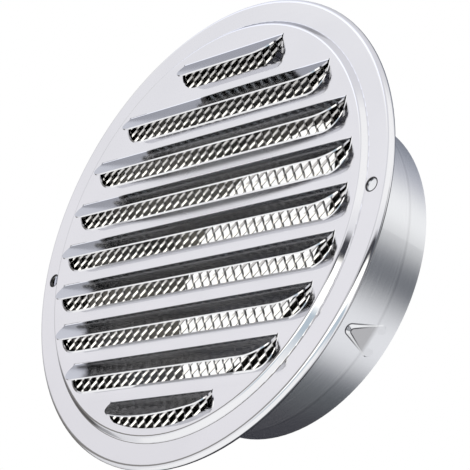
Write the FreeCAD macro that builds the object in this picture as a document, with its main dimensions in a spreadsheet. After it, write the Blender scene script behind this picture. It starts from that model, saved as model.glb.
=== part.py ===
import FreeCAD, Part
import Sketcher
import math
import os

# Round louvred vent cover in sheet steel, all sizes in millimetres and degrees.
# The origin is on the duct axis in the plane of the wall, +Y runs into the duct and +Z is up.
# Y is negative in front of the wall, and a section is drawn as radius against Y.

os.makedirs("parts", exist_ok=True)
doc = FreeCAD.newDocument("round_vent_cover")
vec = FreeCAD.Vector

driving_sizes = {
    # face plate
    "face_diameter": 200.0,
    "face_sheet": 0.6,
    "rim_depth": 4.0,
    "rim_lip": 2.4,
    "ring_width": 10.2,
    "step_run": 2.8,
    "step_height": 2.2,
    "step_bend": 0.7,
    # louvre flaps, lanced on three sides and bent out about the top edge
    "louvre_margin": 5.0,
    "louvre_drop": 2.8,
    "end_louvre_inset": 12.2,
    "end_louvre_trim": 3.8,
    "flap_width": 12.6,
    "flap_angle": 36.5,
    "flap_bend": 1.5,
    "flap_corner": 10.0,
    "arch_margin": 3.0,
    "arch_corner": 7.5,
    "lance_gap": 0.4,
    # screw holes on the ring
    "screw_hole": 5.0,
    "screw_inset": 7.4,
    "screw_right_turn": 1.0,
    "screw_left_turn": 186.7,
    # collar
    "collar_diameter": 143.0,
    "collar_sheet": 0.6,
    "collar_depth": 50.0,
    "collar_bend": 1.5,
    "flange_clearance": 0.5,
    "lead_length": 10.5,
    "lead_inset": 0.8,
    # pressed barbs on the collar
    "barb_front": 26.0,
    "barb_length": 19.0,
    "barb_width": 14.0,
    "barb_height": 2.0,
    "barb_root": 0.55,
    "barb_corner": 2.8,
    "barb_draft": 40.0,
    "barb_angle": -32.5,
    # expanded mesh
    "mesh_clearance": 0.8,
    "mesh_headroom": 0.2,
    "mesh_border": 2.5,
    "mesh_short_way": 14.8,
    "mesh_long_way": 21.6,
    "mesh_strand": 2.6,
}
louvre_ranks = range(4, -5, -1)
barb_count = 3

sheet = doc.addObject("Spreadsheet::Sheet", "sizes")
for row, (alias, number) in enumerate(driving_sizes.items(), start=1):
    sheet.set("A%d" % row, alias)
    sheet.set("B%d" % row, str(number))
    sheet.setAlias("B%d" % row, alias)
doc.recompute()

# Shared places along Y and along the radius
disc_front = "(-sizes.rim_depth - sizes.step_height)"
ring_front = "(-sizes.rim_depth)"
flange_front = "(sizes.face_sheet - sizes.rim_depth)"
flange_back = "(sizes.face_sheet + sizes.collar_sheet - sizes.rim_depth)"
roll_radius = "(sizes.rim_depth / 2)"
roll_start = "(sizes.face_diameter / 2 - sizes.rim_depth / 2)"
step_foot = "(sizes.face_diameter / 2 - sizes.ring_width)"
step_top = "(sizes.face_diameter / 2 - sizes.ring_width - sizes.step_run)"
screw_radius = "(sizes.face_diameter / 2 - sizes.screw_inset)"
collar_radius = "(sizes.collar_diameter / 2)"


def sized(formula):
    return float(sheet.evalExpression(formula))


def new_sketch(name, axis=vec(0, 0, 1), turn=0.0):
    sketch = doc.addObject("Sketcher::SketchObject", name)
    sketch.Placement = FreeCAD.Placement(vec(0, 0, 0), FreeCAD.Rotation(axis, turn))
    return sketch


def line(sketch, start, end):
    return sketch.addGeometry(Part.LineSegment(vec(*start), vec(*end)), False)


def arc(sketch, centre, radius, start_turn, end_turn):
    circle = Part.Circle(vec(*centre), vec(0, 0, 1), radius)
    bent = Part.ArcOfCircle(circle, math.radians(start_turn), math.radians(end_turn))
    return sketch.addGeometry(bent, False)


def tie(sketch, kind, *ends):
    sketch.addConstraint(Sketcher.Constraint(kind, *ends))


def dimension(sketch, kind, ends, formula):
    number = sketch.addConstraint(Sketcher.Constraint(kind, *ends, sized(formula)))
    sketch.setExpression("Constraints[%d]" % number, formula)


def sheet_skin(name, source, thickness):
    skin = doc.addObject("Part::Offset2D", name)
    skin.Source = source
    skin.Mode = "Skin"
    skin.Join = "Arc"
    skin.Fill = True
    skin.setExpression("Value", thickness)
    return skin


def revolve(name, source):
    turned = doc.addObject("Part::Revolution", name)
    turned.Source = source
    turned.Axis = vec(0, 1, 0)
    turned.Base = vec(0, 0, 0)
    turned.Angle = 360.0
    turned.Solid = True
    return turned


def extrude(name, source, length, both_ways=True):
    pulled = doc.addObject("Part::Extrusion", name)
    pulled.Base = source
    pulled.DirMode = "Normal"
    pulled.Symmetric = both_ways
    pulled.Solid = True
    pulled.setExpression("LengthFwd", length)
    return pulled


def fuse(name, shapes):
    joined = doc.addObject("Part::MultiFuse", name)
    joined.Shapes = shapes
    joined.Refine = True
    return joined


def boolean(kind, name, base, tool):
    result = doc.addObject(kind, name)
    result.Base = base
    result.Tool = tool
    return result


# Face plate: front line of the section, from the axis to the end of the rolled rim's lip
def face_section():
    top = (sized(step_top), sized(disc_front))
    foot = (sized(step_foot), sized(ring_front))
    roll = sized(roll_radius)
    roll_at = sized(roll_start)
    lip_end = roll_at - sized("sizes.rim_lip")
    crest_bend = sized("sizes.step_bend + sizes.face_sheet")
    hollow_bend = sized("sizes.step_bend")
    crest = (top[0], top[1] + crest_bend)
    hollow = (foot[0], foot[1] - hollow_bend)
    # the slope touches the two bends on opposite sides
    apart = math.hypot(hollow[0] - crest[0], hollow[1] - crest[1])
    lean = math.atan2(hollow[1] - crest[1], hollow[0] - crest[0])
    touch = lean - math.acos((crest_bend + hollow_bend) / apart)
    way = (math.cos(touch), math.sin(touch))
    slope_top = (crest[0] + crest_bend * way[0], crest[1] + crest_bend * way[1])
    slope_foot = (hollow[0] - hollow_bend * way[0], hollow[1] - hollow_bend * way[1])
    touch_turn = math.degrees(touch)

    sketch = new_sketch("face_section")
    disc = line(sketch, (0, top[1]), top)
    crest_arc = arc(sketch, crest, crest_bend, -90, touch_turn)
    slope = line(sketch, slope_top, slope_foot)
    hollow_arc = arc(sketch, hollow, hollow_bend, 90, 180 + touch_turn)
    ring = line(sketch, foot, (roll_at, foot[1]))
    roll_arc = arc(sketch, (roll_at, foot[1] + roll), roll, -90, 90)
    lip = line(sketch, (roll_at, 0), (lip_end, 0))
    tie(sketch, "Tangent", disc, 2, crest_arc, 1)
    tie(sketch, "Tangent", crest_arc, 2, slope, 1)
    tie(sketch, "Tangent", slope, 2, hollow_arc, 2)
    tie(sketch, "Tangent", hollow_arc, 1, ring, 1)
    tie(sketch, "Tangent", ring, 2, roll_arc, 1)
    tie(sketch, "Tangent", roll_arc, 2, lip, 1)
    tie(sketch, "Horizontal", disc)
    tie(sketch, "Horizontal", ring)
    tie(sketch, "Horizontal", lip)
    tie(sketch, "PointOnObject", disc, 1, -2)
    dimension(sketch, "DistanceY", (-1, 1, disc, 1), disc_front)
    dimension(sketch, "DistanceX", (-1, 1, disc, 2), step_top)
    dimension(sketch, "Radius", (crest_arc,), "sizes.step_bend + sizes.face_sheet")
    dimension(sketch, "Radius", (hollow_arc,), "sizes.step_bend")
    dimension(sketch, "DistanceX", (-1, 1, ring, 1), step_foot)
    dimension(sketch, "DistanceY", (-1, 1, ring, 1), ring_front)
    dimension(sketch, "DistanceX", (-1, 1, ring, 2), roll_start)
    dimension(sketch, "Radius", (roll_arc,), roll_radius)
    dimension(sketch, "DistanceX", (lip, 2, lip, 1), "sizes.rim_lip")
    return sketch


face_skin = sheet_skin("face_skin", face_section(), "-sizes.face_sheet")
face_blank = revolve("face_blank", face_skin)


# Outline of a flap or of its opening, below a hinge line: straight sides, round corners, and a free
# edge that is straight or, on the lowest louvre, an arch that follows the disc
def flap_outline(sketch, half, top, drop, corner, arch=None):
    half_now = sized(half)
    top_now = sized(top)
    low = -sized(drop)
    corner_now = sized(corner)
    corner_at = half_now - corner_now
    if arch:
        arch_now = sized(arch)
        arch_height = low + arch_now
        reach = math.sqrt((arch_now - corner_now) ** 2 - corner_at ** 2)
        corner_height = arch_height - reach
        meet = math.degrees(math.atan2(-reach, corner_at))
        edge = arc(sketch, (0, arch_height), arch_now, -180 - meet, meet)
    else:
        corner_height = low + corner_now
        meet = -90.0
        edge = line(sketch, (-corner_at, low), (corner_at, low))
    head = line(sketch, (-half_now, top_now), (half_now, top_now))
    right_side = line(sketch, (half_now, top_now), (half_now, corner_height))
    right_corner = arc(sketch, (corner_at, corner_height), corner_now, meet, 0)
    left_corner = arc(sketch, (-corner_at, corner_height), corner_now, 180, 180 - meet)
    left_side = line(sketch, (-half_now, corner_height), (-half_now, top_now))
    tie(sketch, "Coincident", head, 2, right_side, 1)
    tie(sketch, "Tangent", right_side, 2, right_corner, 2)
    tie(sketch, "Tangent", right_corner, 1, edge, 2)
    tie(sketch, "Tangent", edge, 1, left_corner, 2)
    tie(sketch, "Tangent", left_corner, 1, left_side, 1)
    tie(sketch, "Coincident", left_side, 2, head, 1)
    tie(sketch, "Vertical", right_side)
    tie(sketch, "Vertical", left_side)
    tie(sketch, "Symmetric", head, 1, head, 2, -2)
    tie(sketch, "Equal", right_corner, left_corner)
    dimension(sketch, "DistanceX", (head, 1, head, 2), "2 * (%s)" % half)
    dimension(sketch, "DistanceY", (-1, 1, head, 1), top)
    dimension(sketch, "Radius", (right_corner,), corner)
    if arch:
        tie(sketch, "PointOnObject", edge, 3, -2)
        dimension(sketch, "Radius", (edge,), arch)
        dimension(sketch, "DistanceY", (-1, 1, edge, 3), "(%s) - (%s)" % (arch, drop))
    else:
        dimension(sketch, "DistanceY", (edge, 1, -1, 1), drop)


# Section of a flap from its hinge at the origin: the bend, then the straight run to the free edge
bend_run = "((sizes.flap_bend + sizes.face_sheet / 2) * sizes.flap_angle * pi / 180)"
straight_run = "(sizes.flap_width - %s)" % bend_run
bend_back = "(sizes.flap_bend * (1 - cos(sizes.flap_angle)))"
bend_down = "(sizes.flap_bend * sin(sizes.flap_angle))"


def flap_section():
    bend = sized("sizes.flap_bend")
    bend_end = (-sized(bend_back), -sized(bend_down))
    run = sized(straight_run)
    turn = math.radians(sized("sizes.flap_angle"))
    edge = (bend_end[0] - run * math.sin(turn), bend_end[1] - run * math.cos(turn))
    sketch = new_sketch("flap_section", vec(1, 1, 1), 120.0)
    bend_arc = arc(sketch, (-bend, 0), bend, -math.degrees(turn), 0)
    flat = line(sketch, bend_end, edge)
    tie(sketch, "Tangent", bend_arc, 1, flat, 1)
    tie(sketch, "Coincident", bend_arc, 2, -1, 1)
    tie(sketch, "PointOnObject", bend_arc, 3, -1)
    dimension(sketch, "Radius", (bend_arc,), "sizes.flap_bend")
    dimension(sketch, "DistanceX", (flat, 2, flat, 1), straight_run + " * sin(sizes.flap_angle)")
    dimension(sketch, "DistanceY", (flat, 2, flat, 1), straight_run + " * cos(sizes.flap_angle)")
    return sketch


flap_skin = sheet_skin("flap_skin", flap_section(), "sizes.face_sheet")
flap_strip = extrude("flap_strip", flap_skin, "sizes.face_diameter")


# The rows are spread over the disc, and each row ends on one circle, apart from the shorter end rows
louvre_pitch = "((%s - sizes.end_louvre_inset) / %d)" % (step_top, louvre_ranks[0])
louvre_reach = "(%s - sizes.louvre_margin)" % step_top
arch_radius = "(%s - sizes.arch_margin)" % step_top


# One louvre: its opening in the disc, and its flap trimmed to the same outline in its own plane
def louvre(rank):
    name = "louvre_%d" % (louvre_ranks[0] + 1 - rank)
    end_row = rank in (louvre_ranks[0], louvre_ranks[-1])
    arched = rank == louvre_ranks[-1]
    half = "sqrt(%s ^ 2 - (%d * %s) ^ 2)" % (louvre_reach, rank, louvre_pitch)
    if end_row:
        half = half + " - sizes.end_louvre_trim"
    hinge = "%d * %s + sizes.flap_width / 2 - sizes.louvre_drop" % (rank, louvre_pitch)
    corner = "sizes.arch_corner" if arched else "sizes.flap_corner"
    arch = arch_radius if arched else None

    opening_outline = new_sketch(name + "_opening_outline", vec(1, 0, 0), 90.0)
    opening_outline.setExpression("Placement.Base.y", disc_front)
    opening_outline.setExpression("Placement.Base.z", hinge)
    wider = " + sizes.lance_gap"
    wide_arch = arch + wider if arched else None
    flap_outline(opening_outline, half + wider, "0", "sizes.flap_width" + wider, corner + wider, wide_arch)
    opening = extrude(name + "_opening", opening_outline, "4 * sizes.face_sheet")

    trim_outline = new_sketch(name + "_trim_outline", vec(1, 0, 0), 90.0)
    trim_outline.setExpression("Placement.Base.y", "-" + bend_back)
    trim_outline.setExpression("Placement.Base.z", "-" + bend_down)
    trim_outline.setExpression("Placement.Rotation.Angle", "90 - sizes.flap_angle")
    flap_outline(trim_outline, half, "2 * sizes.flap_bend", straight_run, corner, arch)
    trim = extrude(name + "_trim", trim_outline, "4 * (sizes.flap_bend + sizes.face_sheet)")
    flap = boolean("Part::Common", name + "_flap", flap_strip, trim)
    flap.setExpression("Placement.Base.y", disc_front)
    flap.setExpression("Placement.Base.z", hinge)
    return opening, flap


louvres = [louvre(rank) for rank in louvre_ranks]
openings = [opening for opening, flap in louvres]
flaps = [flap for opening, flap in louvres]


# Screw holes on one circle, each at its own turn from +X, through the ring and the flange behind it
def screw_hole(name, turn):
    hole = doc.addObject("Part::Cylinder", name)
    hole.Placement = FreeCAD.Placement(vec(0, 0, 0), FreeCAD.Rotation(vec(1, 0, 0), 90.0))
    hole.setExpression("Radius", "sizes.screw_hole / 2")
    hole.setExpression("Height", "2 * sizes.rim_depth")
    hole.setExpression("Placement.Base.x", "%s * cos(%s)" % (screw_radius, turn))
    hole.setExpression("Placement.Base.z", "%s * sin(%s)" % (screw_radius, turn))
    return hole


screw_holes = [
    screw_hole("screw_hole_right", "sizes.screw_right_turn"),
    screw_hole("screw_hole_left", "sizes.screw_left_turn"),
]
face_holes = fuse("face_holes", openings + screw_holes)
face_pierced = boolean("Part::Cut", "face_pierced", face_blank, face_holes)
face_plate = fuse("face_plate_piece", [face_pierced] + flaps)
face_plate.Label = "face_plate"


# Collar: back line of the flange, then the outside of the tube and its tapered lead
def collar_section():
    flange_edge = sized(roll_start) - sized("sizes.flange_clearance")
    back = sized(flange_back)
    radius = sized(collar_radius)
    bend = sized("sizes.collar_bend")
    rear = sized("sizes.collar_depth")
    lead_at = rear - sized("sizes.lead_length")
    rear_radius = radius - sized("sizes.lead_inset")
    sketch = new_sketch("collar_section")
    flange = line(sketch, (flange_edge, back), (radius + bend, back))
    root_arc = arc(sketch, (radius + bend, back + bend), bend, 180, 270)
    tube = line(sketch, (radius, back + bend), (radius, lead_at))
    lead = line(sketch, (radius, lead_at), (rear_radius, rear))
    tie(sketch, "Tangent", flange, 2, root_arc, 2)
    tie(sketch, "Tangent", root_arc, 1, tube, 1)
    tie(sketch, "Coincident", tube, 2, lead, 1)
    tie(sketch, "Horizontal", flange)
    tie(sketch, "Vertical", tube)
    dimension(sketch, "DistanceX", (-1, 1, flange, 1), roll_start + " - sizes.flange_clearance")
    dimension(sketch, "DistanceY", (-1, 1, flange, 1), flange_back)
    dimension(sketch, "Radius", (root_arc,), "sizes.collar_bend")
    dimension(sketch, "DistanceX", (-1, 1, tube, 1), collar_radius)
    dimension(sketch, "DistanceX", (lead, 2, lead, 1), "sizes.lead_inset")
    dimension(sketch, "DistanceY", (lead, 1, lead, 2), "sizes.lead_length")
    dimension(sketch, "DistanceY", (-1, 1, lead, 2), "sizes.collar_depth")
    return sketch


collar_skin = sheet_skin("collar_skin", collar_section(), "-sizes.collar_sheet")
collar_tube = revolve("collar_tube", collar_skin)


# Plan of a barb on the tube: a rounded triangle with its tip towards the face plate
def barb_plan():
    corner = sized("sizes.barb_corner")
    tip = (sized("sizes.barb_front + sizes.barb_corner"), 0)
    run = sized("sizes.barb_length - 2 * sizes.barb_corner")
    rise = sized("sizes.barb_width / 2 - sizes.barb_corner")
    base = tip[0] + run
    slant = math.hypot(run, rise)
    offset = (-rise / slant * corner, run / slant * corner)
    turn = math.degrees(math.atan2(run, -rise))
    sketch = new_sketch("barb_plan", vec(1, 1, 1), 120.0)
    sketch.setExpression("Placement.Base.x", collar_radius + " - sizes.barb_root")
    upper = line(sketch, (tip[0] + offset[0], offset[1]), (base + offset[0], rise + offset[1]))
    upper_arc = arc(sketch, (base, rise), corner, 0, turn)
    end = line(sketch, (base + corner, rise), (base + corner, -rise))
    lower_arc = arc(sketch, (base, -rise), corner, -turn, 0)
    lower = line(sketch, (base + offset[0], -rise - offset[1]), (tip[0] + offset[0], -offset[1]))
    tip_arc = arc(sketch, tip, corner, turn, 360 - turn)
    tie(sketch, "Tangent", tip_arc, 1, upper, 1)
    tie(sketch, "Tangent", upper, 2, upper_arc, 2)
    tie(sketch, "Tangent", upper_arc, 1, end, 1)
    tie(sketch, "Tangent", end, 2, lower_arc, 2)
    tie(sketch, "Tangent", lower_arc, 1, lower, 1)
    tie(sketch, "Tangent", lower, 2, tip_arc, 2)
    tie(sketch, "Equal", tip_arc, upper_arc)
    tie(sketch, "Equal", tip_arc, lower_arc)
    tie(sketch, "PointOnObject", tip_arc, 3, -1)
    tie(sketch, "Symmetric", upper_arc, 3, lower_arc, 3, -1)
    dimension(sketch, "Radius", (tip_arc,), "sizes.barb_corner")
    dimension(sketch, "DistanceX", (-1, 1, tip_arc, 3), "sizes.barb_front + sizes.barb_corner")
    dimension(sketch, "DistanceX", (tip_arc, 3, upper_arc, 3), "sizes.barb_length - 2 * sizes.barb_corner")
    dimension(sketch, "DistanceY", (lower_arc, 3, upper_arc, 3), "sizes.barb_width - 2 * sizes.barb_corner")
    return sketch


# Ramp that the barb is left under: full height at the tip, below the tube's surface at the base
def barb_ramp():
    low = sized(collar_radius) - sized("sizes.barb_root")
    high = sized(collar_radius) + sized("sizes.barb_height")
    front = sized("sizes.barb_front")
    rear = front + sized("sizes.barb_length")
    sketch = new_sketch("barb_ramp_section")
    foot = line(sketch, (low, front), (low, rear))
    slope = line(sketch, (low, rear), (high, front))
    nose = line(sketch, (high, front), (low, front))
    tie(sketch, "Coincident", foot, 2, slope, 1)
    tie(sketch, "Coincident", slope, 2, nose, 1)
    tie(sketch, "Coincident", nose, 2, foot, 1)
    tie(sketch, "Vertical", foot)
    tie(sketch, "Horizontal", nose)
    dimension(sketch, "DistanceX", (-1, 1, foot, 1), collar_radius + " - sizes.barb_root")
    dimension(sketch, "DistanceX", (nose, 2, nose, 1), "sizes.barb_root + sizes.barb_height")
    dimension(sketch, "DistanceY", (-1, 1, foot, 1), "sizes.barb_front")
    dimension(sketch, "DistanceY", (foot, 1, foot, 2), "sizes.barb_length")
    return extrude("barb_ramp", sketch, "sizes.barb_width")


barb_prism = extrude("barb_prism", barb_plan(), "sizes.barb_root + sizes.barb_height", both_ways=False)
barb_prism.setExpression("TaperAngle", "-sizes.barb_draft")
ramp = barb_ramp()


# A pressing stands out of the tube, and the dent inside it follows one sheet further in
def pressing(name, number, inward):
    form = boolean("Part::Common", "%s_%d" % (name, number + 1), barb_prism, ramp)
    turn = "(sizes.barb_angle + %d * 360 / %d)" % (number, barb_count)
    form.Placement = FreeCAD.Placement(vec(0, 0, 0), FreeCAD.Rotation(vec(0, -1, 0), 90.0))
    form.setExpression("Placement.Rotation.Angle", turn)
    form.setExpression("Placement.Base.x", "-%s * cos(%s)" % (inward, turn))
    form.setExpression("Placement.Base.z", "-%s * sin(%s)" % (inward, turn))
    return form


barbs = [pressing("barb", number, "0") for number in range(barb_count)]
dents = [pressing("dent", number, "sizes.collar_sheet") for number in range(barb_count)]
collar_pressed = fuse("collar_pressed", [collar_tube] + barbs)
collar_holes = fuse("collar_holes", dents + screw_holes)
collar = boolean("Part::Cut", "collar_piece", collar_pressed, collar_holes)
collar.Label = "collar"


# Mesh screen: a disc on the front of the flange with staggered diamond gaps
def mesh_gaps():
    half_short = sized("sizes.mesh_short_way") / 2
    half_long = sized("sizes.mesh_long_way") / 2
    inset = sized("sizes.mesh_strand") / 2 * math.hypot(half_short, half_long) / (half_short * half_long)
    gap = (half_short * (1 - inset), half_long * (1 - inset))
    reach = sized(step_top + " - sizes.mesh_clearance - sizes.mesh_border")
    deep = sized("2 * sizes.step_height")
    front = sized(flange_front) - deep
    columns = int(reach / half_short)
    rows = int(reach / half_long)
    prisms = []
    for column in range(-columns, columns + 1):
        for rank in range(-rows, rows + 1):
            x = column * half_short
            z = rank * half_long
            corners = [(x + gap[0], z), (x, z + gap[1]), (x - gap[0], z), (x, z - gap[1])]
            inside = max(math.hypot(*corner) for corner in corners) < reach
            if (column + rank) % 2 == 0 and inside:
                ends = [vec(corner[0], front, corner[1]) for corner in corners]
                diamond = Part.Face(Part.makePolygon(ends + ends[:1]))
                prisms.append(diamond.extrude(vec(0, 2 * deep, 0)))
    print("mesh gaps", len(prisms))
    return Part.makeCompound(prisms)


mesh_blank = doc.addObject("Part::Cylinder", "mesh_blank")
mesh_blank.Placement = FreeCAD.Placement(vec(0, 0, 0), FreeCAD.Rotation(vec(1, 0, 0), 90.0))
mesh_blank.setExpression("Radius", step_top + " - sizes.mesh_clearance")
mesh_blank.setExpression("Height", "sizes.step_height - sizes.mesh_headroom")
mesh_blank.setExpression("Placement.Base.y", flange_front)
diamonds = doc.addObject("Part::Feature", "mesh_diamonds")
diamonds.Shape = mesh_gaps()
mesh_screen = boolean("Part::Cut", "mesh_screen_piece", mesh_blank, diamonds)
mesh_screen.Label = "mesh_screen"

doc.recompute()
failed = [item.Name for item in doc.Objects if "Invalid" in item.State or "Error" in item.State]
if failed:
    raise RuntimeError("failed objects: " + ", ".join(failed))
pieces = [face_plate, mesh_screen, collar]
for piece in pieces:
    if piece.Shape.isNull() or not piece.Shape.isValid() or len(piece.Shape.Solids) != 1:
        raise RuntimeError("bad shape: " + piece.Label)
for piece in pieces:
    piece.Shape.exportStep("parts/%s.step" % piece.Label)
    box = piece.Shape.BoundBox
    print(piece.Label, "volume %.1f" % piece.Shape.Volume, "box %.2f %.2f %.2f %.2f %.2f %.2f" % (
        box.XMin, box.XMax, box.YMin, box.YMax, box.ZMin, box.ZMax))
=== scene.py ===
import bpy
import math
from mathutils import Matrix, Vector


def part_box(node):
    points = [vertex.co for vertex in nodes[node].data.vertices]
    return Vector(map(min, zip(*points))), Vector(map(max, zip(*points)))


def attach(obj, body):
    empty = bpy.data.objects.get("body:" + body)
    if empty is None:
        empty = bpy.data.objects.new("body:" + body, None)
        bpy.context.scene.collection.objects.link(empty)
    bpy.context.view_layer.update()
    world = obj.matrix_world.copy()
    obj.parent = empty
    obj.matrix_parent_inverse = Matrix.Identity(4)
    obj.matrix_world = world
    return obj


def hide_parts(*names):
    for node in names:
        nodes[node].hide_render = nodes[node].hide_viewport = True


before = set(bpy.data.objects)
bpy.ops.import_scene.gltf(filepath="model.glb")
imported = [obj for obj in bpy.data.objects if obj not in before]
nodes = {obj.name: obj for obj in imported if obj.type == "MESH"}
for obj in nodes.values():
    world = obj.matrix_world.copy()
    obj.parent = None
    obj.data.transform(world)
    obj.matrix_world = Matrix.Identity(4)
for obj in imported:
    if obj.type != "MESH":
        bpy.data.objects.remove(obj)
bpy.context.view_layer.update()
scene = bpy.context.scene
scene.view_settings.view_transform = "Standard"
print("frame loaded:", sorted(nodes))


def freshTree(holder):
    holder.use_nodes = True
    tree = holder.node_tree
    tree.nodes.clear()
    return tree


def put(tree, kind, **settings):
    node = tree.nodes.new(kind)
    for name, value in settings.items():
        setattr(node, name, value)
    return node


# a socket is linked, a plain value is set on the node, and a colour is made opaque
def feed(tree, socket, value):
    if isinstance(value, bpy.types.NodeSocket):
        tree.links.new(value, socket)
    elif socket.type == "RGBA":
        socket.default_value = (*value, 1.0)
    else:
        socket.default_value = value


def fill(tree, node, values):
    for label, value in values.items():
        feed(tree, node.inputs[label], value)


def sums(tree):
    def calc(kind, *values):
        node = put(tree, "ShaderNodeMath", operation=kind)
        for socket, value in zip(node.inputs, values):
            feed(tree, socket, value)
        return node.outputs["Value"]
    return calc


def distance(calc, first, second):
    return calc("SQRT", calc("ADD", calc("MULTIPLY", first, first), calc("MULTIPLY", second, second)))


def vectorMath(tree, kind, *values):
    node = put(tree, "ShaderNodeVectorMath", operation=kind)
    for socket, value in zip(node.inputs, values):
        feed(tree, socket, value)
    return node.outputs["Value" if kind in ("DOT_PRODUCT", "LENGTH") else "Vector"]


def mapRange(tree, value, start, end, low=0.0, high=1.0, soft=False):
    node = put(tree, "ShaderNodeMapRange", interpolation_type="SMOOTHSTEP" if soft else "LINEAR")
    fill(tree, node, {"Value": value, "From Min": start, "From Max": end, "To Min": low, "To Max": high})
    return node.outputs["Result"]


def blend(tree, kind, mask, under, over):
    node = put(tree, "ShaderNodeMix", data_type=kind)
    fill(tree, node, {"Factor": mask, "A": under, "B": over})
    return node.outputs["Result"]


def noise(tree, vector, scale, detail):
    node = put(tree, "ShaderNodeTexNoise")
    fill(tree, node, {"Vector": vector, "Scale": scale, "Detail": detail})
    return node.outputs["Fac"]


def objectPlace(tree):
    return put(tree, "ShaderNodeTexCoord").outputs["Object"]


def axes(tree, vector):
    split = put(tree, "ShaderNodeSeparateXYZ")
    fill(tree, split, {"Vector": vector})
    return split.outputs


# inputs are numbers with their first values, outputs are Float or Vector
def newGroup(name, inputs, outputs):
    tree = bpy.data.node_groups.new(name, "ShaderNodeTree")
    for label, value in inputs.items():
        socket = tree.interface.new_socket(label, in_out="INPUT", socket_type="NodeSocketFloat")
        socket.default_value = value
    for label, kind in outputs.items():
        tree.interface.new_socket(label, in_out="OUTPUT", socket_type="NodeSocket" + kind)
    return tree, put(tree, "NodeGroupOutput")


# polished sheet: slow waves in the mirror, fine hairlines in the gloss and a faint cloud in the tone
sheet = {"waveDetail": 1.0, "waveHeight": 0.01, "hairStretch": (40.0, 900.0, 900.0), "hairDetail": 3.0,
         "hairRange": (0.3, 0.7), "cloudScale": 30.0, "cloudDetail": 4.0}


def makeSheetGroup():
    tree, result = newGroup(
        "sheetPolish",
        {"Wave Size": 14.0, "Wave Depth": 0.02, "Gloss Low": 0.05, "Gloss High": 0.14},
        {"Roughness": "Float", "Normal": "Vector", "Tone": "Float"})
    given = put(tree, "NodeGroupInput").outputs
    place = objectPlace(tree)
    wave = noise(tree, place, given["Wave Size"], sheet["waveDetail"])
    bump = put(tree, "ShaderNodeBump")
    fill(tree, bump, {"Height": wave, "Strength": given["Wave Depth"], "Distance": sheet["waveHeight"]})

    stretch = put(tree, "ShaderNodeMapping")
    fill(tree, stretch, {"Vector": place, "Scale": sheet["hairStretch"]})
    hairs = noise(tree, stretch.outputs["Vector"], 1.0, sheet["hairDetail"])
    gloss = mapRange(tree, hairs, *sheet["hairRange"], given["Gloss Low"], given["Gloss High"])
    cloud = noise(tree, place, sheet["cloudScale"], sheet["cloudDetail"])
    fill(tree, result, {"Roughness": gloss, "Normal": bump.outputs["Normal"], "Tone": cloud})
    return tree


# drawing lines: fine rings round the collar's axis
drawn = {"detail": 4.0}


def makeDrawnGroup():
    tree, result = newGroup("drawnLines", {"Line Scale": 1400.0}, {"Fac": "Float"})
    given = put(tree, "NodeGroupInput").outputs
    along = axes(tree, objectPlace(tree))["Y"]
    lines = put(tree, "ShaderNodeTexNoise", noise_dimensions="1D")
    fill(tree, lines, {"W": along, "Scale": given["Line Scale"], "Detail": drawn["detail"]})
    fill(tree, result, {"Fac": lines.outputs["Fac"]})
    return tree


# the collar's faces: the inside with the front of its flange and the tops of the barbs, both masks for
# painted shade, and a normal that turns evenly round the tube
tube = {"radius": 0.07155, "even": 0.65, "wallFacing": 0.99, "insideFacing": -0.5,
        "barbFacing": 0.97, "barbEnd": 0.0400, "barbFade": 0.002}


def makeCollarGroup():
    tree, result = newGroup("collarFaces", {}, {"Inside": "Float", "Barb Shade": "Float", "Normal": "Vector"})
    calc = sums(tree)
    place = objectPlace(tree)
    y = axes(tree, place)["Y"]
    across = vectorMath(tree, "MULTIPLY", place, (1.0, 0.0, 1.0))
    outward = vectorMath(tree, "NORMALIZE", across)
    reach = vectorMath(tree, "LENGTH", across)
    face = put(tree, "ShaderNodeNewGeometry").outputs
    turn = vectorMath(tree, "DOT_PRODUCT", outward, face["True Normal"])

    # painted shade: the inside of the collar and the front of its flange get a dark colour where they lie in
    # shade
    forward = calc("LESS_THAN", axes(tree, face["True Normal"])["Y"], tube["insideFacing"])
    flange = calc("MULTIPLY", forward, calc("LESS_THAN", y, 0.0))
    inside = calc("MAXIMUM", calc("LESS_THAN", turn, tube["insideFacing"]), flange)

    # painted shade: the flat tops of the barbs, fading out near their rear end
    proud = calc("GREATER_THAN", reach, tube["radius"])
    barbTopShade = calc("MULTIPLY", proud, calc("GREATER_THAN", turn, tube["barbFacing"]))
    upper = mapRange(tree, y, tube["barbEnd"], tube["barbEnd"] - tube["barbFade"], soft=True)

    onTube = calc("LESS_THAN", reach, tube["radius"])
    wall = calc("MULTIPLY", onTube, calc("GREATER_THAN", turn, tube["wallFacing"]))
    even = blend(tree, "VECTOR", calc("MULTIPLY", wall, tube["even"]), face["Normal"], outward)
    fill(tree, result, {"Inside": inside, "Barb Shade": calc("MULTIPLY", barbTopShade, upper),
                        "Normal": vectorMath(tree, "NORMALIZE", even)})
    return tree


# lanced sheet: it rolls a little into each opening, with a bright bead on the very edge, both told from
# the distance to the opening's outline, the bent flaps are marked by the way they face, for painted shade
# and gloss, and a ring round each hole is marked for painted shade
louvre = {"pitch": 0.0187, "reach": 0.082, "hinge": 0.0035, "drop": 0.0130, "corner": 0.0104,
          "rowLimit": 3.5, "discFacing": -0.99, "disc": 0.085,
          "rollWidth": 0.0056, "rollTilt": 0.30, "beadWidth": 0.0009, "beadTilt": 1.2, "dullWidth": 0.009,
          "shadeCentre": (0.012, 0.016), "shadeSize": (0.050, 0.022), "shadeFade": (1.3, 0.4),
          "shadeRest": 0.15, "flapFacing": (0.7, 0.9), "flapLevel": 0.05,
          "holeCircle": 0.0926, "holeTurns": (1.0, 186.7), "holeEdge": 0.0030}


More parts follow.
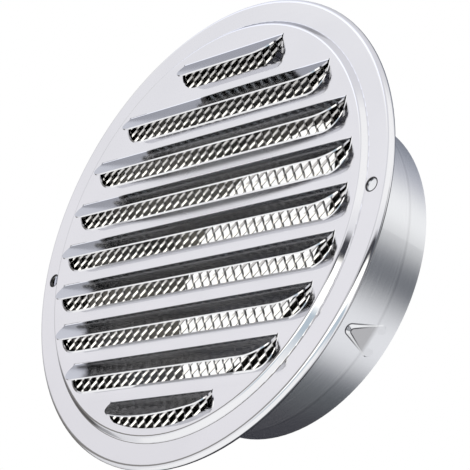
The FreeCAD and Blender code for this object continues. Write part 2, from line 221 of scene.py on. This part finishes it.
def makeLanceGroup():
    tree, result = newGroup(
        "lancedSheet", {}, {"Tilt": "Vector", "Edge": "Float", "Flap": "Float", "Hole Shade": "Float"})
    calc = sums(tree)
    spot = axes(tree, objectPlace(tree))
    x, z = spot["X"], spot["Z"]
    normal = axes(tree, put(tree, "ShaderNodeNewGeometry").outputs["Normal"])

    # gap is the distance past the outline of the opening above
    row = calc("CEIL", calc("DIVIDE", calc("SUBTRACT", z, louvre["hinge"]), louvre["pitch"]))
    rowPlace = calc("MULTIPLY", row, louvre["pitch"])
    half = calc("SQRT", calc("SUBTRACT", louvre["reach"] ** 2, calc("MULTIPLY", rowPlace, rowPlace)))
    straight = calc("SUBTRACT", half, louvre["corner"])
    side = calc("MAXIMUM", calc("SUBTRACT", calc("ABSOLUTE", x), straight), 0.0)
    floorLine = calc("ADD", rowPlace, louvre["hinge"] - louvre["drop"] + louvre["corner"])
    below = calc("MAXIMUM", calc("SUBTRACT", floorLine, z), 0.0)
    away = distance(calc, side, below)
    gap = calc("SUBTRACT", away, louvre["corner"])

    # the roll is deepest in an oval near the middle of the disc
    overX = calc("DIVIDE", calc("SUBTRACT", x, louvre["shadeCentre"][0]), louvre["shadeSize"][0])
    overZ = calc("DIVIDE", calc("SUBTRACT", z, louvre["shadeCentre"][1]), louvre["shadeSize"][1])
    oval = distance(calc, overX, overZ)
    middle = mapRange(tree, oval, *louvre["shadeFade"], low=louvre["shadeRest"], soft=True)
    nearness = mapRange(tree, gap, louvre["rollWidth"], 0.0, soft=True)
    roll = calc("MULTIPLY", calc("MULTIPLY", nearness, middle), louvre["rollTilt"])
    onBead = calc("LESS_THAN", gap, louvre["beadWidth"])
    lean = calc("SUBTRACT", roll, calc("MULTIPLY", onBead, louvre["beadTilt"]))
    onDisc = calc("LESS_THAN", normal["Y"], louvre["discFacing"])
    onStrip = calc("MULTIPLY", onDisc, calc("LESS_THAN", calc("ABSOLUTE", row), louvre["rowLimit"]))
    share = calc("DIVIDE", calc("MULTIPLY", lean, onStrip), away)
    sideways = calc("MULTIPLY", calc("SIGN", x), side)
    tilt = put(tree, "ShaderNodeCombineXYZ")
    fill(tree, tilt, {"X": calc("MULTIPLY", sideways, calc("MULTIPLY", share, -1.0)),
                      "Z": calc("MULTIPLY", below, share)})

    dull = calc("MULTIPLY", mapRange(tree, gap, louvre["dullWidth"], louvre["rollWidth"], soft=True), middle)
    offBead = calc("SUBTRACT", 1.0, onBead)
    edge = calc("MULTIPLY", calc("MULTIPLY", dull, offBead), onStrip)

    facing = calc("MULTIPLY", normal["Y"], -1.0)
    steep, shallow = louvre["flapFacing"]
    leaning = calc("MULTIPLY", calc("GREATER_THAN", facing, steep), calc("LESS_THAN", facing, shallow))
    level = calc("LESS_THAN", calc("ABSOLUTE", normal["X"]), louvre["flapLevel"])
    within = calc("LESS_THAN", distance(calc, x, z), louvre["disc"])
    flap = calc("MULTIPLY", calc("MULTIPLY", leaning, level), within)

    # painted shade: a dark ring round each of the two holes
    holeShades = []
    for turn in louvre["holeTurns"]:
        offX = calc("SUBTRACT", x, louvre["holeCircle"] * math.cos(math.radians(turn)))
        offZ = calc("SUBTRACT", z, louvre["holeCircle"] * math.sin(math.radians(turn)))
        holeShades.append(calc("LESS_THAN", distance(calc, offX, offZ), louvre["holeEdge"]))
    fill(tree, result, {"Tilt": tilt.outputs["Vector"], "Edge": edge, "Flap": flap,
                        "Hole Shade": calc("MAXIMUM", *holeShades)})
    return tree


# pressed barbs: painted shade lines along the foot and the top of each wall, told from the outline of the
# barb
barb = {"front": 0.026, "length": 0.019, "width": 0.014, "corner": 0.0028, "height": 0.0020, "root": 0.00055,
        "draft": math.radians(40), "angle": math.radians(-32.5), "count": 3, "radius": 0.0715,
        "outside": 0.0712, "line": 0.00031, "core": 1 / 3, "fade": (0.0415, 0.0300)}
# painted shade: a dark line on the crease where the collar's end draws in
lead = {"start": 0.0395, "width": 0.0012, "shadeDepth": 0.13}  # crease where the collar's end draws in


def makePressShadeGroup():
    tree, result = newGroup("pressShadeLines", {}, {"Line": "Float"})
    calc = sums(tree)
    spot = axes(tree, objectPlace(tree))
    x, y, z = spot["X"], spot["Y"], spot["Z"]
    halfTurn = math.pi / barb["count"]
    turn = calc("WRAP", calc("SUBTRACT", calc("ARCTAN2", z, x), barb["angle"]), halfTurn, -halfTurn)
    aside = calc("MULTIPLY", calc("ABSOLUTE", turn), barb["radius"])
    along = calc("SUBTRACT", y, barb["front"] + barb["corner"])

    # distance in from the outline, by way of the line between the centres of two corners
    run = barb["length"] - 2 * barb["corner"]
    rise = barb["width"] / 2 - barb["corner"]
    span = run ** 2 + rise ** 2
    reached = calc("ADD", calc("MULTIPLY", along, run / span), calc("MULTIPLY", aside, rise / span))
    share = calc("MINIMUM", calc("MAXIMUM", reached, 0.0), 1.0)
    offAlong = calc("SUBTRACT", along, calc("MULTIPLY", share, run))
    offAside = calc("SUBTRACT", aside, calc("MULTIPLY", share, rise))
    away = distance(calc, offAlong, offAside)
    side = calc("SIGN", calc("SUBTRACT", calc("MULTIPLY", aside, run), calc("MULTIPLY", along, rise)))
    inset = calc("SUBTRACT", barb["corner"], calc("MULTIPLY", away, side))

    # the wall leans in by its draft, from the tube up to the ramp
    top = barb["height"] + barb["root"]
    behindFront = calc("SUBTRACT", y, barb["front"])
    ramp = calc("SUBTRACT", top, calc("MULTIPLY", behindFront, top / barb["length"]))
    fall = calc("MULTIPLY", calc("MULTIPLY", aside, aside), 0.5 / barb["radius"])  # the tube curves away
    foot = calc("SUBTRACT", barb["root"], fall)
    core = barb["line"] * barb["core"]
    lines = []
    for level in (foot, ramp):
        off = calc("SUBTRACT", inset, calc("MULTIPLY", level, math.tan(barb["draft"])))
        lines.append(mapRange(tree, calc("ABSOLUTE", off), barb["line"], core, soft=True))
    outline = calc("MULTIPLY", calc("MAXIMUM", *lines), mapRange(tree, y, *barb["fade"], soft=True))
    # painted shade on the crease
    fromLead = calc("ABSOLUTE", calc("SUBTRACT", y, lead["start"]))
    creaseShade = mapRange(tree, fromLead, lead["width"], 0.0, high=lead["shadeDepth"], soft=True)
    outside = calc("GREATER_THAN", distance(calc, x, z), barb["outside"])
    fill(tree, result, {"Line": calc("MULTIPLY", calc("MAXIMUM", outline, creaseShade), outside)})
    return tree


sheetGroup = makeSheetGroup()
drawnGroup = makeDrawnGroup()
collarGroup = makeCollarGroup()
lanceGroup = makeLanceGroup()
pressShadeGroup = makePressShadeGroup()
print("finishes made")


def useGroup(tree, group):
    return put(tree, "ShaderNodeGroup", node_tree=group)


def usePolish(tree, look):
    polish = useGroup(tree, sheetGroup)
    fill(tree, polish, {"Wave Size": look["waveSize"], "Wave Depth": look["waveDepth"],
                        "Gloss Low": look["glossLow"], "Gloss High": look["glossHigh"]})
    return polish.outputs


def startMetal(name):
    made = bpy.data.materials.new(name)
    tree = freshTree(made)
    shader = put(tree, "ShaderNodeBsdfPrincipled")
    shader.inputs["Metallic"].default_value = 1.0
    out = put(tree, "ShaderNodeOutputMaterial")
    tree.links.new(shader.outputs["BSDF"], out.inputs["Surface"])
    return made, tree, shader


# the flap colours are painted shade, a darker copy of the plate's steel, and the near-black one is painted
# shade round each hole
plateLook = {"dark": (0.83, 0.83, 0.85), "light": (0.90, 0.90, 0.92), "waveSize": 16.0, "waveDepth": 0.015,
             "glossLow": 0.04, "glossHigh": 0.10, "flapGloss": 0.12, "edgeGloss": 0.30,
             "flapShadeDark": (0.57, 0.57, 0.58), "flapShadeLight": (0.63, 0.63, 0.64),
             "grazing": (0.60, 0.60, 0.60), "holeShade": (0.08, 0.08, 0.08)}


def makePlateSteel():
    made, tree, shader = startMetal("polishedSteel")
    polish = usePolish(tree, plateLook)
    lance = useGroup(tree, lanceGroup).outputs
    tone = blend(tree, "RGBA", polish["Tone"], plateLook["dark"], plateLook["light"])
    # painted shade: the bent flaps are a darker copy of the same steel
    flapShadeTone = blend(tree, "RGBA", polish["Tone"], plateLook["flapShadeDark"], plateLook["flapShadeLight"])
    tone = blend(tree, "RGBA", lance["Flap"], tone, flapShadeTone)
    # painted shade round each hole
    tone = blend(tree, "RGBA", lance["Hole Shade"], tone, plateLook["holeShade"])
    gloss = blend(tree, "FLOAT", lance["Flap"], polish["Roughness"], plateLook["flapGloss"])
    gloss = blend(tree, "FLOAT", lance["Edge"], gloss, plateLook["edgeGloss"])
    rolled = vectorMath(tree, "ADD", polish["Normal"], lance["Tilt"])
    fill(tree, shader, {"Base Color": tone, "Specular Tint": plateLook["grazing"], "Roughness": gloss,
                        "Normal": vectorMath(tree, "NORMALIZE", rolled)})
    return made


# the three darker colours are painted shade: inside the collar and on the front of its flange, on the barb
# tops, and in lines along the barb walls and the crease
collarLook = {"dark": (0.82, 0.83, 0.85), "light": (0.91, 0.92, 0.94), "inside": (0.100, 0.095, 0.085),
              "barb": (0.56, 0.56, 0.57), "line": (0.10, 0.10, 0.11),
              "rough": (0.20, 0.30), "lines": 1400.0}


def makeCollarSteel():
    made, tree, shader = startMetal("collarSteel")
    rings = useGroup(tree, drawnGroup)
    fill(tree, rings, {"Line Scale": collarLook["lines"]})
    ringFac = rings.outputs["Fac"]
    faces = useGroup(tree, collarGroup).outputs
    pressShade = useGroup(tree, pressShadeGroup).outputs
    tone = blend(tree, "RGBA", ringFac, collarLook["dark"], collarLook["light"])
    # painted shade on the barb tops
    tone = blend(tree, "RGBA", faces["Barb Shade"], tone, collarLook["barb"])
    # painted shade lines along the barb walls and on the crease
    tone = blend(tree, "RGBA", pressShade["Line"], tone, collarLook["line"])
    # painted shade inside the collar and on the front of its flange
    tone = blend(tree, "RGBA", faces["Inside"], tone, collarLook["inside"])
    gloss = mapRange(tree, ringFac, 0.0, 1.0, *collarLook["rough"])
    fill(tree, shader, {"Base Color": tone, "Roughness": gloss, "Normal": faces["Normal"]})
    return made


screenLook = {"dark": (0.86, 0.85, 0.83), "light": (0.95, 0.94, 0.92), "waveSize": 120.0, "waveDepth": 0.004,
              "glossLow": 0.10, "glossHigh": 0.20, "cutEdgeShade": (0.05, 0.05, 0.05), "cutFacing": (0.35, 0.60)}


def makeScreenSteel():
    made, tree, shader = startMetal("screenSteel")
    calc = sums(tree)
    polish = usePolish(tree, screenLook)
    tone = blend(tree, "RGBA", polish["Tone"], screenLook["dark"], screenLook["light"])
    # painted shade: the cut edges of the strands, told from the way they face, are made dark
    normal = axes(tree, put(tree, "ShaderNodeNewGeometry").outputs["Normal"])
    flat = mapRange(tree, calc("ABSOLUTE", normal["Y"]), *screenLook["cutFacing"])
    tone = blend(tree, "RGBA", flat, screenLook["cutEdgeShade"], tone)
    fill(tree, shader, {"Base Color": tone, "Roughness": polish["Roughness"], "Normal": polish["Normal"]})
    return made


def dress(piece, material):
    piece.data.materials.clear()
    piece.data.materials.append(material)


dress(nodes["face_plate"], makePlateSteel())
dress(nodes["collar"], makeCollarSteel())
screenSteel = makeScreenSteel()
dress(nodes["mesh_screen"], screenSteel)
print("materials made")


# expanded metal: zigzag strands that lean forward at the top, every second one moved half a diamond
screen = {"along": 0.0049, "over": 0.0069, "strand": 0.00115, "bond": 0.0006, "thick": 0.00060,
          "tilt": math.radians(20), "turn": math.radians(-93), "sides": 90, "inset": 0.0002,
          "spare": 6, "weld": 1e-6}


def repeat(piece, step, count, weld):
    copies = piece.modifiers.new("copies", "ARRAY")
    copies.use_relative_offset = False
    copies.use_constant_offset = True
    copies.constant_offset_displace = step
    copies.count = count
    copies.use_merge_vertices = weld
    copies.merge_threshold = screen["weld"]
    bpy.ops.object.modifier_apply(modifier=copies.name)


def buildScreen():
    low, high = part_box("mesh_screen")
    radius = (high.x - low.x) / 2 - screen["inset"]
    across = screen["over"] / 2 - screen["strand"] * math.cos(screen["tilt"])
    deeper = screen["strand"] * math.sin(screen["tilt"])
    rise = screen["along"] / 2 - screen["bond"]

    # one zigzag, drawn out from its first bond
    bpy.ops.object.select_all(action="DESELECT")
    bpy.ops.mesh.primitive_plane_add(size=1.0)
    piece = bpy.context.object
    piece.name = "expandedScreen"
    piece.scale = (screen["strand"], screen["bond"], 1.0)
    piece.rotation_euler = (0.0, screen["tilt"], 0.0)
    bpy.ops.object.transform_apply(location=False, rotation=True, scale=True)
    bpy.ops.object.mode_set(mode="EDIT")
    bpy.ops.mesh.select_mode(type="EDGE")
    bpy.ops.mesh.select_all(action="DESELECT")
    bpy.ops.object.mode_set(mode="OBJECT")
    topEdge = max(piece.data.edges, key=lambda e: sum(piece.data.vertices[v].co.y for v in e.vertices))
    topEdge.select = True
    bpy.ops.object.mode_set(mode="EDIT")
    for step in ((-across, rise, -deeper), (0.0, screen["bond"], 0.0), (across, rise, deeper)):
        bpy.ops.mesh.extrude_region_move(TRANSFORM_OT_translate={"value": step})
    bpy.ops.object.mode_set(mode="OBJECT")

    # one row, then its neighbour, then the whole field
    rows = math.ceil(2 * radius / screen["over"]) + screen["spare"]
    steps = math.ceil(2 * radius / screen["along"]) + screen["spare"]
    repeat(piece, (0.0, screen["along"], 0.0), steps, weld=True)
    bpy.ops.object.mode_set(mode="EDIT")
    bpy.ops.mesh.select_all(action="SELECT")
    halfStep = (screen["over"] / 2, screen["along"] / 2, 0.0)
    bpy.ops.mesh.duplicate_move(TRANSFORM_OT_translate={"value": halfStep})
    bpy.ops.object.mode_set(mode="OBJECT")
    repeat(piece, (screen["over"], 0.0, 0.0), rows, weld=False)
    piece.location = (-rows * screen["over"] / 2, -steps * screen["along"] / 2, 0.0)
    bpy.ops.object.transform_apply(location=True, rotation=False, scale=False)
    piece.rotation_euler = (0.0, 0.0, screen["turn"])
    bpy.ops.object.transform_apply(location=False, rotation=True, scale=False)

    # trim the field to the disc
    bpy.ops.object.mode_set(mode="EDIT")
    for side in range(screen["sides"]):
        angle = 2 * math.pi * side / screen["sides"]
        outward = Vector((math.cos(angle), math.sin(angle), 0.0))
        bpy.ops.mesh.select_all(action="SELECT")
        bpy.ops.mesh.bisect(plane_co=outward * radius, plane_no=outward, clear_outer=True)
    bpy.ops.object.mode_set(mode="OBJECT")
    solid = piece.modifiers.new("sheet", "SOLIDIFY")
    solid.thickness = screen["thick"]
    solid.offset = 0.0
    bpy.ops.object.modifier_apply(modifier="sheet")
    piece.rotation_euler = (math.radians(90), 0.0, 0.0)
    piece.location = (low + high) / 2
    bpy.ops.object.transform_apply(location=True, rotation=True, scale=False)
    bpy.ops.object.shade_flat()
    dress(piece, screenSteel)
    return piece


expandedScreen = buildScreen()
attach(expandedScreen, "root")
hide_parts("mesh_screen")
print("screen faces:", len(expandedScreen.data.polygons))


# studio: soft panels and dark gaps that the steel mirrors, and a plain background for the camera. On the
# left, in front and on the right they go by height, at the rear by the turn round the collar's axis, and
# straight behind by depth
studio = {
    "left": [(-1.00, (1.00, 1.00, 1.00)), (-0.57, (1.00, 1.00, 1.00)), (-0.50, (0.88, 0.88, 0.90)),
             (-0.20, (0.86, 0.86, 0.88)), (-0.12, (0.26, 0.25, 0.24)), (0.07, (0.27, 0.26, 0.25)),
             (0.13, (0.45, 0.45, 0.46)), (0.21, (0.84, 0.83, 0.86)), (0.30, (0.90, 0.89, 0.92)),
             (0.47, (0.89, 0.89, 0.92)), (0.49, (1.00, 1.00, 1.00)), (0.55, (1.00, 1.00, 1.00)),
             (0.59, (1.22, 1.25, 1.38)), (0.76, (1.15, 1.18, 1.32)), (0.90, (0.78, 0.78, 0.82)),
             (1.00, (0.78, 0.78, 0.82))],
    "front": [(-1.00, (1.00, 1.00, 1.00)), (-0.75, (1.00, 1.00, 1.00)), (-0.58, (0.52, 0.61, 0.68)),
              (-0.48, (0.52, 0.61, 0.68)), (-0.40, (1.50, 1.48, 1.42)), (-0.14, (1.50, 1.48, 1.42)),
              (-0.07, (0.60, 0.60, 0.62)), (0.20, (0.60, 0.60, 0.62)), (0.30, (0.75, 0.75, 0.78)),
              (1.00, (0.78, 0.78, 0.82))],
    "right": [(-1.00, (1.00, 1.00, 1.00)), (-0.75, (1.00, 1.00, 1.00)), (-0.58, (0.52, 0.61, 0.68)),
              (-0.48, (0.52, 0.61, 0.68)), (-0.40, (1.50, 1.48, 1.42)), (-0.14, (1.50, 1.48, 1.42)),
              (-0.08, (0.06, 0.06, 0.07)), (0.02, (0.06, 0.06, 0.07)), (0.10, (0.85, 0.85, 0.88)),
              (0.32, (1.00, 1.00, 1.00)), (0.85, (1.00, 1.00, 1.00)), (0.94, (0.80, 0.80, 0.83)),
              (1.00, (0.78, 0.78, 0.82))],
    "rear": [(-180, (0.04, 0.04, 0.05)), (-118, (0.05, 0.05, 0.06)), (-88, (0.10, 0.11, 0.12)),
             (-76, (0.18, 0.19, 0.21)), (-56, (0.90, 0.90, 0.92)), (-28, (0.90, 0.90, 0.92)),
             (-4, (0.13, 0.14, 0.16)), (11, (0.14, 0.15, 0.17)), (38, (1.00, 1.00, 1.00)),
             (56, (1.00, 1.00, 1.00)), (78, (0.50, 0.51, 0.57)), (106, (0.25, 0.27, 0.32)),
             (180, (0.05, 0.05, 0.06))],
    "behind": [(0.80, (0.03, 0.03, 0.03)), (0.955, (0.03, 0.03, 0.03)), (0.985, (0.55, 0.55, 0.56)),
               (1.00, (0.55, 0.55, 0.56))],
    "leftFade": (-0.10, -0.30), "rightFade": (0.12, 0.30), "rearFade": (0.40, 0.56),
    "behindFade": (0.86, 0.96), "background": (1.0, 1.0, 1.0),
}


def panelRamp(tree, stops, value):
    low, high = stops[0][0], stops[-1][0]
    ramp = put(tree, "ShaderNodeValToRGB")
    marks = ramp.color_ramp.elements
    for number, (at, color) in enumerate(stops):
        position = (at - low) / (high - low)
        mark = marks[number] if number < 2 else marks.new(position)  # a new ramp has two marks
        mark.position = position
        mark.color = (*color, 1.0)
    fill(tree, ramp, {"Fac": mapRange(tree, value, low, high)})
    return ramp.outputs["Color"]


def makeWorld():
    scene.world = bpy.data.worlds.new("studio")
    tree = freshTree(scene.world)
    calc = sums(tree)
    way = axes(tree, put(tree, "ShaderNodeTexCoord").outputs["Generated"])
    turn = calc("DEGREES", calc("ARCTAN2", way["Z"], way["X"]))
    around = panelRamp(tree, studio["front"], way["Z"])
    for name, value, side in (("left", way["Z"], way["X"]), ("right", way["Z"], way["X"]),
                              ("rear", turn, way["Y"]), ("behind", way["Y"], way["Y"])):
        panels = panelRamp(tree, studio[name], value)
        around = blend(tree, "RGBA", mapRange(tree, side, *studio[name + "Fade"], soft=True), around, panels)
    room = put(tree, "ShaderNodeBackground")
    fill(tree, room, {"Color": around})
    white = put(tree, "ShaderNodeBackground")
    fill(tree, white, {"Color": studio["background"]})
    ray = put(tree, "ShaderNodeLightPath")
    pick = put(tree, "ShaderNodeMixShader")
    tree.links.new(ray.outputs["Is Camera Ray"], pick.inputs["Fac"])
    tree.links.new(room.outputs["Background"], pick.inputs[1])
    tree.links.new(white.outputs["Background"], pick.inputs[2])
    out = put(tree, "ShaderNodeOutputWorld")
    tree.links.new(pick.outputs["Shader"], out.inputs["Surface"])


floorLook = {"level": -0.40, "size": 8.0, "color": (0.86, 0.86, 0.86)}


# pale from above and clear from below, so that a low camera still sees the cover
def makeFloor():
    bpy.ops.object.select_all(action="DESELECT")
    bpy.ops.mesh.primitive_plane_add(size=floorLook["size"], location=(0.0, 0.0, floorLook["level"]))
    floor = bpy.context.object
    floor.name = "floor"
    floor.visible_glossy = False
    made = bpy.data.materials.new("paleFloor")
    tree = freshTree(made)
    matt = put(tree, "ShaderNodeBsdfDiffuse")
    fill(tree, matt, {"Color": floorLook["color"]})
    clear = put(tree, "ShaderNodeBsdfTransparent")
    face = put(tree, "ShaderNodeNewGeometry")
    pick = put(tree, "ShaderNodeMixShader")
    tree.links.new(face.outputs["Backfacing"], pick.inputs["Fac"])
    tree.links.new(matt.outputs["BSDF"], pick.inputs[1])
    tree.links.new(clear.outputs["BSDF"], pick.inputs[2])
    out = put(tree, "ShaderNodeOutputMaterial")
    tree.links.new(pick.outputs["Shader"], out.inputs["Surface"])
    dress(floor, made)


lamp = {"place": (-0.9, -1.2, 1.6), "size": 1.6, "power": 30.0}


def makeLamp():
    data = bpy.data.lights.new("softBox", "AREA")
    data.shape = "DISK"
    data.size = lamp["size"]
    data.energy = lamp["power"]
    box = bpy.data.objects.new("softBox", data)
    scene.collection.objects.link(box)
    box.location = lamp["place"]
    box.rotation_mode = "QUATERNION"
    box.rotation_quaternion = (-Vector(lamp["place"])).to_track_quat("-Z", "Y")
    box.visible_glossy = False


makeWorld()
makeFloor()
makeLamp()
print("studio made")


# the photograph's view: angles in degrees, lens and centre in pixels of its frame, the rest in metres
view = {"azimuth": 51.95, "elevation": -20.76, "roll": 11.79, "distance": 0.723, "aim": (0.0, -0.004, 0.0),
        "lens": 1827.6, "centre": (200.1, 226.3), "pixels": 470, "nearest": 0.01}


def makeCamera():
    azimuth = math.radians(view["azimuth"])
    elevation = math.radians(view["elevation"])
    roll = math.radians(view["roll"])
    back = Vector((math.sin(azimuth) * math.cos(elevation), -math.cos(azimuth) * math.cos(elevation),
                   math.sin(elevation)))
    level = Vector((math.cos(azimuth), math.sin(azimuth), 0.0))
    upright = back.cross(level)
    right = level * math.cos(roll) + upright * math.sin(roll)
    up = upright * math.cos(roll) - level * math.sin(roll)
    data = bpy.data.cameras.new("camera")
    data.lens = view["lens"] / view["pixels"] * data.sensor_width
    data.shift_x = 0.5 - view["centre"][0] / view["pixels"]
    data.shift_y = view["centre"][1] / view["pixels"] - 0.5
    data.clip_start = view["nearest"]
    camera = bpy.data.objects.new("camera", data)
    scene.collection.objects.link(camera)
    turn = Matrix((right, up, back)).transposed().to_4x4()
    camera.matrix_world = Matrix.Translation(Vector(view["aim"]) + back * view["distance"]) @ turn
    scene.camera = camera


makeCamera()
print("camera made")
